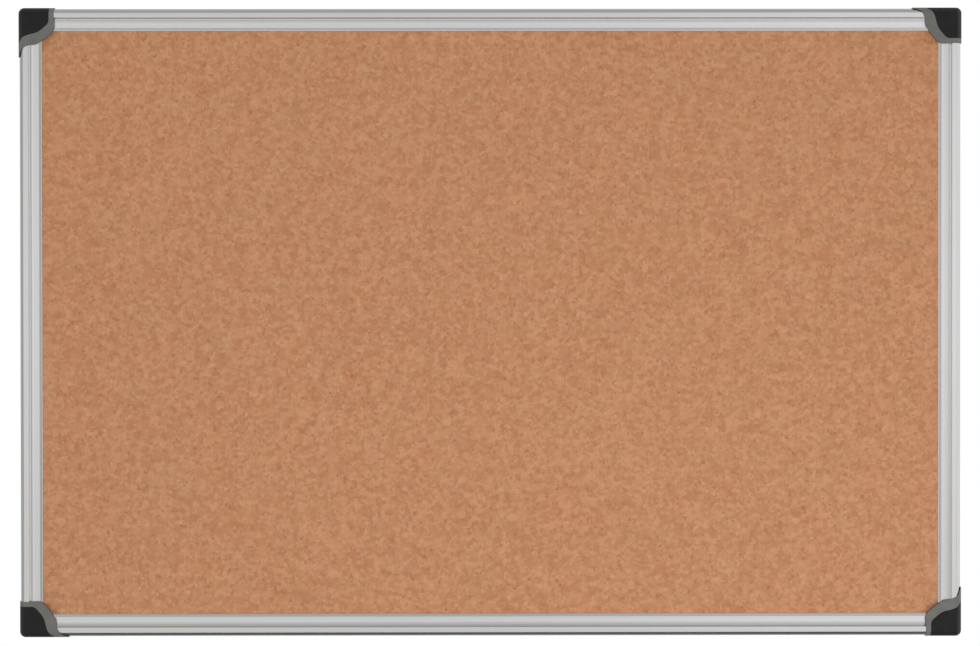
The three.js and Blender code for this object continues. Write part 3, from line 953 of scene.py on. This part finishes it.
# %% The screws' tree
def screw_tree():
    """One screw on each point, out of the wall and at an angle of its own."""
    tree, given = new_tree(
        "frame_screws", "Head Radius", "Head Height", "Pan Power", "Shank Radius", "Shank Length",
        "Tip Length", "Thread Height", "Thread Turns", "Recess Length", "Recess Width Share", "Recess Depth",
        "Seed", "Material"
    )
    head = cross_recess(tree, given, pan_head(tree, given))
    screw = shape(tree, "JoinGeometry", {"Geometry": [head, *threaded_shank(tree, given)]})
    spin = vector(tree, z=random_value(tree, 0.0, math.pi, given["Seed"]))
    screwed = {"Points": given["Geometry"], "Instance": screw, "Rotation": spin}
    return end_tree(tree, shape(tree, "InstanceOnPoints", screwed), given["Material"])


# %% The zinc finish
def zinc_plate():
    """Zinc over steel: a cool grey that drifts towards straw, with fine polishing scratches."""
    material, tree = new_material("zinc_plated_steel", Metallic=1.0)
    place = position_mm(tree)
    cloud = noise_at(tree, place, 0.9, detail=3)
    scratch = noise_at(tree, position_mm(tree, (0.3, 1, 4)), 3.0, detail=3)
    colour = colours(tree, cloud, [(0.3, (0.60, 0.61, 0.63)), (0.75, (0.66, 0.64, 0.58))])
    rough = spread(tree, scratch, 0.24, 0.42, 0.3, 0.7)
    return end_material(material, colour, rough, bump(tree, scratch, 0.3, 0.02))


# %% The eight screws
head_sink = 0.1
screw_seat = screw_groove_depth - head_sink
places = []
for turn, (_, _, length, offset) in enumerate(sides):
    along = length / 2 - rail_setback - screw_from_end
    places += [turned_to(turn) @ Vector((side * along, screw_line - offset, screw_seat)) for side in (-1, 1)]
points = drawn("screw_points", [tuple(place) for place in places])

zinc = zinc_plate()
screws = grown_by(
    screw_tree(), points, Head_Radius=2.7, Head_Height=1.25, Pan_Power=3.0, Shank_Radius=1.2,
    Shank_Length=8.0, Tip_Length=1.6, Thread_Height=0.3, Thread_Turns=5.5, Recess_Length=1.9,
    Recess_Width_Share=0.24, Recess_Depth=0.75, Seed=7, Material=zinc
)
ends = {
    "bottom": ("left", "right"), "right": ("bottom", "top"), "top": ("right", "left"),
    "left": ("top", "bottom")
}
screw_nodes = [f"screw_{side}_rail_{end}" for side, _, _, _ in sides for end in ends[side]]
finish_piece("frame_screws", shaded(screws), as_drawn, zinc, "board", "screw_steel", *screw_nodes)

# %% [markdown]
# ## The cork
# The face is agglomerated cork: granules of up to four millimetres with crumbs between them, pressed and
# glued, then sanded flat. From arm's length it is an even warm tan with a fine grain; close up each granule
# has its own tone, with dark bits of bark and pale ones between. Cells of three sizes with a random tone each
# make the granules, the chips and the crumbs, a further set picks out the bark, and slow noise drifts the
# whole from reddish to yellowish.

# %% The cork's tones
cork_mean = (0.535, 0.253, 0.1275)
tone_shares = (0.74, 1.2, 1.5)


def cork_tones(tree, value, swing, low=0.0, high=1.0):
    """Darker and redder below the middle of a value, and paler above it."""
    pairs = list(zip(cork_mean, tone_shares))
    dark, pale = ([mean * (1 + way * swing * share) for mean, share in pairs] for way in (-1, 1))
    return colours(tree, value, [(low, dark), (high, pale)])


# %% Cells with straight and with stirred sides
def cells(tree, place, per_mm, feature="F1", **more):
    """A pattern of cells, so many to the millimetre."""
    inputs = {"Vector": place, "Scale": per_mm, **more}
    return add_node(tree, "ShaderNodeTexVoronoi", inputs, feature=feature).outputs


def cell_values(tree, place, per_mm, **more):
    """Three random values for each cell."""
    return separated(tree, cells(tree, place, per_mm, **more)["Color"])


def stirred(tree, place, per_mm=0.3, reach_mm=4.0):
    """A place pushed about by soft noise, so that the cells on it lose their straight sides."""
    inputs = {"Vector": place, "Scale": per_mm, "Detail": 2.0}
    push = add_node(tree, "ShaderNodeTexNoise", inputs).outputs["Color"]
    push = vector_math(tree, "SUBTRACT", push, (0.5, 0.5, 0.5))
    return vector_math(tree, "ADD", place, vector_math(tree, "SCALE", push, Scale=reach_mm))


# %% The granules' tones and the slow drifts
granules_per_mm, chips_per_mm, crumbs_per_mm = 0.27, 0.62, 1.5
patches_per_mm, drifts_per_mm = 0.11, 0.035
# For the chips and for the crumbs: their cells, which of the cells' values gives the tone, and their share
finer_layers = ((chips_per_mm, 2, 0.25), (crumbs_per_mm, 1, 0.16))
reddish, yellowish = (0.560, 0.236, 0.118), (0.490, 0.273, 0.130)


def granule_tones(tree, place, stir):
    """The colour of the cork between its specks, and the granules' own random values."""
    values = cell_values(tree, stir, granules_per_mm, feature="SMOOTH_F1", Smoothness=0.4)
    colour = cork_tones(tree, values[0], 0.37, 0.15, 0.85)
    for per_mm, which, share in finer_layers:
        colour = tinted(tree, colour, cork_tones(tree, cell_values(tree, stir, per_mm)[which], 0.45), share)
    patch = noise_at(tree, place, patches_per_mm, detail=2)
    colour = tinted(tree, colour, cork_tones(tree, patch, 0.22, 0.33, 0.67), 0.35)
    drift = noise_at(tree, place, drifts_per_mm, detail=3)
    return tinted(tree, colour, colours(tree, drift, [(0.3, reddish), (0.7, yellowish)]), 0.3), values


# %% Bark and pale bits
specks_per_mm = 0.3
# Which cells are specks, by their random value, then how strong the specks are and in what colour
speck_kinds = (
    ("GREATER_THAN", 0.9, 0.42, (0.26, 0.11, 0.052, 1)), ("LESS_THAN", 0.07, 0.35, (0.70, 0.42, 0.27, 1))
)


def with_specks(tree, colour, stir):
    """Scatters dark bits of bark and a few pale bits over a colour."""
    specks = cells(tree, stir, specks_per_mm)
    chance = separated(tree, specks["Color"])[0]
    middle = spread(tree, specks["Distance"], 1.0, 0.0, 0.15, 0.65)
    for test, limit, share, tint in speck_kinds:
        share = times(tree, times(tree, arithmetic(tree, test, chance, limit), share), middle)
        colour = tinted(tree, colour, tint, share)
    return colour


# %% The whole cork
glue_brown = (0.33, 0.145, 0.07, 1)


def agglomerated_cork():
    """Granules in their own tones, with specks, thin seams of glue and small pits."""
    material, tree = new_material("agglomerated_cork", Specular_IOR_Level=0.25)
    place = position_mm(tree)
    stir = stirred(tree, place)
    colour, values = granule_tones(tree, place, stir)
    colour = with_specks(tree, colour, stir)
    seams = cells(tree, stir, crumbs_per_mm, feature="DISTANCE_TO_EDGE")["Distance"]
    colour = tinted(tree, colour, glue_brown, spread(tree, seams, 0.3, 0.0, 0.0, 0.14))
    pits = noise_at(tree, place, 1.1, detail=3, roughness=0.65)
    relief = bump(tree, spread(tree, seams, 0.0, 1.0, 0.0, 0.2), 0.2, 0.12, bump(tree, pits, 0.3, 0.2))
    return end_material(material, colour, spread(tree, values[1], 0.78, 0.95), relief)


cork = agglomerated_cork()
print("cork nodes:", len(cork.node_tree.nodes))

# %% [markdown]
# ## The panel's layers
# A layer is a closed slab whose seen face isn't quite flat: sanding leaves the cork with a soft unevenness a
# few millimetres across, and glued paper cockles over a hand's width. The face is a grid whose points sink by
# noise, never rise, so the slab stays inside its measured thickness.

# %% A layer with an uneven face
def layer(bottom, thickness, step, sink, wave, front=True):
    """A closed slab whose front or back sinks by up to a depth over waves of a given length."""
    width, height = board_width - 2 * panel_inset, board_height - 2 * panel_inset
    columns, rows = round(width / step), round(height / step)
    face = bottom + thickness if front else bottom
    work = bmesh.new()
    grid = []
    for row in range(rows + 1):
        for column in range(columns + 1):
            x, y = width * (column / columns - 0.5), height * (row / rows - 0.5)
            depth = sink * (0.5 + 0.5 * noise.fractal(Vector((x, y, bottom)) / wave, 1.0, 2.0, 3))
            depth = min(max(depth, 0), sink)
            grid.append(work.verts.new((x, y, face - depth if front else face + depth)))
    for row in range(rows):
        for column in range(columns):
            corner = row * (columns + 1) + column
            work.faces.new([grid[corner + i] for i in (0, 1, columns + 2, columns + 1)])
    rim = [edge for edge in work.edges if edge.is_boundary]
    walls = bmesh.ops.extrude_edge_only(work, edges=rim)["geom"]
    for vertex in (item for item in walls if isinstance(item, bmesh.types.BMVert)):
        vertex.co.z = bottom if front else bottom + thickness
    bmesh.ops.contextual_create(work, geom=[e for e in work.edges if e.is_boundary])
    return outwards(work, bpy.data.meshes.new("layer"))


# %% The cork sheet
core_back = panel_back + backing_thickness + glue_line
cork_back = core_back + core_thickness + glue_line
cork_layer = shaded(layer(cork_back, cork_thickness, step=3.1, sink=0.09, wave=7))
finish_piece("cork_face", cork_layer, as_drawn, cork, "board", "cork", "cork_sheet")

# %% [markdown]
# ## Granules that stand proud
# Sanding doesn't leave every granule level. A tree strews small flattened stones over the face between the
# rails, each with its own size, turn and tone, all from one fixed seed, and each stands a little proud. The
# tone is stored on the mesh, and the material reads it to make one granule bark and the next one pale.

# %% The granules' tree
STONE_FACES = 20


def granule_tree():
    """Flattened stones strewn over a face, each with a width, a turn and a tone from a seed of its own."""
    tree, given = new_tree(
        "cork_granules", "Per Square Millimetre", "Smallest", "Largest", "Flatness", "Seed", "Material"
    )
    face = {"Mesh": given["Geometry"], "Density": given["Per Square Millimetre"], "Seed": given["Seed"]}
    spots = shape(tree, "DistributePointsOnFaces", face, distribute_method="RANDOM")
    stone = shape(tree, "MeshIcoSphere", {"Radius": 0.5, "Subdivisions": 1})
    size = random_value(tree, given["Smallest"], given["Largest"], given["Seed"])
    narrow = random_value(tree, 0.55, 1.0, 11)
    scale = vector(tree, size, times(tree, size, narrow), given["Flatness"])
    spin = vector(tree, z=random_value(tree, 0.0, 2 * math.pi, 12))
    strewn = {"Points": spots, "Instance": stone, "Rotation": spin, "Scale": scale}
    stones = shape(tree, "InstanceOnPoints", strewn)
    tone = {"Geometry": stones, "Name": "tone", "Value": random_value(tree, 0.0, 1.0, 13)}
    toned = shape(tree, "StoreNamedAttribute", tone, data_type="FLOAT", domain="INSTANCE")
    return end_tree(tree, toned, given["Material"])


# %% The granules' colour
def granule_cork():
    material, tree = new_material("cork_granules", Specular_IOR_Level=0.25)
    place = position_mm(tree)
    tone = add_node(tree, "ShaderNodeAttribute", attribute_name="tone").outputs["Fac"]
    bark, dark = (0.41, 0.183, 0.089), (0.45, 0.207, 0.101)
    middle, pale = (0.51, 0.245, 0.125), (0.62, 0.335, 0.19)
    colour = colours(tree, tone, [(0.0, bark), (0.25, dark), (0.6, middle), (1.0, pale)])
    grain = noise_at(tree, place, 2.2, detail=3)
    colour = tinted(tree, colour, (0.44, 0.20, 0.1, 1), spread(tree, grain, 0.0, 0.3, 0.45, 0.75))
    return end_material(material, colour, spread(tree, grain, 0.8, 0.95), bump(tree, grain, 0.4, 0.1))


# %% The granules
seen_width, seen_height = board_width - 2 * rail_face, board_height - 2 * rail_face
edge_room = 1.5
half = Vector((seen_width / 2 - edge_room, seen_height / 2 - edge_room))
granule_depth = 0.14


def level_face(name, half_width, half_height, level):
    """One level face round the middle."""
    signs = ((-1, -1), (1, -1), (1, 1), (-1, 1))
    points = [(sx * half_width, sy * half_height, level) for sx, sy in signs]
    return drawn(name, points, faces=[(0, 1, 2, 3)])


seen_face = level_face("seen_face", half.x, half.y, panel_front - granule_depth)
granule_material = granule_cork()
granules = grown_by(
    granule_tree(), seen_face, Per_Square_Millimetre=0.0125, Smallest=1.0, Largest=3.4, Flatness=0.3, Seed=5,
    Material=granule_material
)
print("granules:", len(granules.polygons) // STONE_FACES)
granules.polygons.foreach_set("use_smooth", [True] * len(granules.polygons))
finish_piece("cork_granules", granules, as_drawn, granule_material, "board", "cork")

# %% [markdown]
# ## Behind the cork
# The core is soft fibreboard, seen only if the frame is taken off, so the measured slab stays and only gets
# its finish. The back shows a sheet of brown kraft paper, with long pale and dark fibres and a slight cockle.

# %% Fibreboard and kraft paper
FIBRE_WAYS = 5


def fibrous(name, dark, light, fibre, rough, depth):
    """Felted fibres lying every way in one plane."""
    material, tree = new_material(name, Specular_IOR_Level=0.3)
    cloud = noise_at(tree, position_mm(tree), 0.04, detail=4, roughness=0.6)
    felt = 0.0
    for way in range(FIBRE_WAYS):
        turn = {"Vector": position_mm(tree), "Angle": way * math.pi / FIBRE_WAYS}
        turned = add_node(tree, "ShaderNodeVectorRotate", turn, rotation_type="Y_AXIS")
        drawn = add_node(tree, "ShaderNodeMapping", {"Vector": turned.outputs[0], "Scale": (fibre, 1, 1)})
        strand = noise_at(tree, drawn.outputs[0], 1.6, detail=3)
        felt = arithmetic(tree, "MULTIPLY_ADD", strand, 1 / FIBRE_WAYS, felt)
    colour = colours(tree, felt, [(0.42, dark), (0.58, light)])
    colour = tinted(tree, colour, (*dark, 1), spread(tree, cloud, 0.0, 0.35, 0.35, 0.8))
    rough = spread(tree, felt, rough - 0.08, rough + 0.08, 0.4, 0.6)
    return end_material(material, colour, rough, bump(tree, felt, 0.35, depth))


softboard = fibrous("softboard_fibres", (0.20, 0.135, 0.075), (0.34, 0.25, 0.15), 0.2, 0.9, 0.15)
kraft = fibrous("kraft_paper", (0.37, 0.245, 0.122), (0.46, 0.32, 0.175), 0.12, 0.74, 0.04)

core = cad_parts["softboard_core"]
core.data.materials.clear()
core.data.materials.append(softboard)

paper = shaded(layer(panel_back, backing_thickness, step=7, sink=0.22, wave=60, front=False))
finish_piece("kraft_backing", paper, as_drawn, kraft, "board", "backing_paper", "backing_sheet")

# %% [markdown]
# ## The studio
# The board was photographed square on against white, in soft light that comes a little more from the right.
# Metal looks like what it reflects, so the room matters more than the lamps. The flat faces of the rails see
# the bright room in front, which is dimmer a little to each side, and their rounded edges see the darker
# surroundings beside the board. The floor is a pale disc that fades into the white, so that it keeps the
# board's shadow and shows no edge from any side.

# %% The floor
def pale_floor():
    """A pale, faintly clouded floor that fades out away from the board."""
    material, tree = new_material("pale_floor", Roughness=0.6)
    shader = tree.nodes["Principled BSDF"]
    cloud = noise_at(tree, position_mm(tree), 0.004)
    colour = colours(tree, cloud, [(0.3, (0.79, 0.79, 0.79)), (0.7, (0.83, 0.83, 0.83))])
    tree.links.new(colour, shader.inputs["Base Color"])
    place = add_node(tree, "ShaderNodeTexCoord").outputs["Object"]
    centred = add_node(
        tree, "ShaderNodeMapping", {"Vector": place, "Location": (0, 0.75, 0), "Scale": (1.6, 1, 1)},
        vector_type="TEXTURE"
    )
    far = vector_math(tree, "LENGTH", vector_math(tree, "MULTIPLY", centred.outputs[0], (1, 1, 0)))
    faded = add_node(
        tree, "ShaderNodeMapRange", {"Value": far, "From Min": 0.3, "From Max": 0.7},
        interpolation_type="SMOOTHSTEP"
    )
    clear = add_node(tree, "ShaderNodeBsdfTransparent")
    mixed = add_node(
        tree, "ShaderNodeMixShader", {0: faded.outputs[0], 1: shader.outputs[0], 2: clear.outputs[0]}
    )
    tree.links.new(mixed.outputs[0], tree.nodes["Material Output"].inputs["Surface"])
    return material


floor_reach, floor_height = 2.0, -0.6
floor_mesh = level_face("floor", floor_reach, floor_reach, floor_height)
floor_mesh.materials.append(pale_floor())
floor = in_scene("floor", floor_mesh)
print("floor:", 2 * floor_reach, "m across,", -floor_height, "m below the board's middle")

# %% How bright the room is
def brightness_at(tree, value, stops):
    """A brightness for each place from -1 to 1."""
    return colours(
        tree, spread(tree, value, 0, 1, -1, 1), [(0.5 + 0.5 * at, (level,) * 3) for at, level in stops]
    )


# How bright the room is at each height and each place across: in front of the board, beside it and behind it
front_up = [
    (-1.0, 0.88), (-0.86, 0.87), (-0.72, 0.4), (-0.55, 0.4), (-0.38, 0.52), (-0.1, 0.58), (0.0, 0.78),
    (0.1, 0.57), (0.2, 0.54), (0.36, 0.48), (0.5, 0.41), (1.0, 0.41)
]
front_across = [
    (-1.0, 1.55), (-0.86, 1.5), (-0.72, 0.7), (-0.52, 0.7), (-0.38, 0.98), (-0.15, 1.13), (0.0, 1.03),
    (0.17, 1.36), (0.38, 1.0), (0.52, 0.6), (0.7, 0.6), (0.86, 1.0), (1.0, 1.1)
]
beside_up = [(-1.0, 0.16), (-0.92, 0.18), (-0.7, 1.0), (1.0, 1.0)]
beside_across = [(-1.0, 0.34), (-0.3, 0.38), (0.3, 0.38), (0.7, 0.7), (1.0, 0.8)]
behind_up = [(-1.0, 0.5), (0.0, 0.75), (1.0, 0.85)]


# %% The room
def studio_room(ambient=0.82):
    """White to the camera; metal shows the room in front, what lies beside the board and the backdrop."""
    world = bpy.data.worlds.new("studio_room")
    world.use_nodes = True
    tree = world.node_tree
    tree.nodes.clear()
    path = add_node(tree, "ShaderNodeLightPath").outputs
    x, y, z = separated(tree, add_node(tree, "ShaderNodeTexCoord").outputs["Generated"])
    in_front = times(tree, brightness_at(tree, z, front_up), brightness_at(tree, x, front_across))
    beside = times(tree, brightness_at(tree, z, beside_up), brightness_at(tree, x, beside_across))
    room = spread(tree, spread(tree, y, 0, 1, -0.4, -0.1), in_front, beside)
    behind = spread(tree, y, 0, 1, 0.3, 0.8)
    mirrored = arithmetic(tree, "MAXIMUM", path["Is Glossy Ray"], path["Is Transmission Ray"])
    shown = spread(tree, behind, room, brightness_at(tree, z, behind_up))
    lit = spread(tree, mirrored, ambient, shown)
    seen = spread(tree, path["Is Camera Ray"], lit, 1.0)
    light = add_node(tree, "ShaderNodeBackground", {"Color": (1, 1, 1, 1), "Strength": seen})
    add_node(tree, "ShaderNodeOutputWorld", {"Surface": light.outputs[0]})
    return world


room = studio_room()
bpy.context.scene.world = room
print("room nodes:", len(room.node_tree.nodes))

# %% The lamps
def soft_panel(name, place, aim, size, brightness):
    """A large soft light of a given brightness, turned towards a point."""
    light = bpy.data.lights.new(name, "AREA")
    light.shape = "RECTANGLE"
    light.size, light.size_y = size
    light.energy = brightness * math.pi * size[0] * size[1]
    lamp = in_scene(name, light)
    lamp.location = place
    lamp.rotation_euler = (Vector(aim) - Vector(place)).to_track_quat("-Z", "Y").to_euler()
    lamp.visible_glossy = False
    lamp.visible_camera = False
    return lamp


soft_panel("panel_low", (0.4, -1.0, -0.5), (0, 0, 0), (0.9, 0.5), 2.0)
soft_panel("panel_left", (-2.0, -1.5, 0.3), (0, 0, 0), (1.8, 1.6), 0.3)

# %% The camera
# Its place and its turn are fitted to the board's corners in the photograph
camera_data = bpy.data.cameras.new("camera")
camera_data.lens = 100
camera = in_scene("camera", camera_data)
camera.location = (-0.0112, -2.6187, 0.0265)
camera.rotation_euler = [math.radians(angle) for angle in (89.407, 0.057, -0.234)]
bpy.context.scene.camera = camera
bpy.context.scene.view_settings.view_transform = "Standard"
print("camera:", round(camera.location.length, 2), "m away, with a lens of", round(camera_data.lens), "mm")
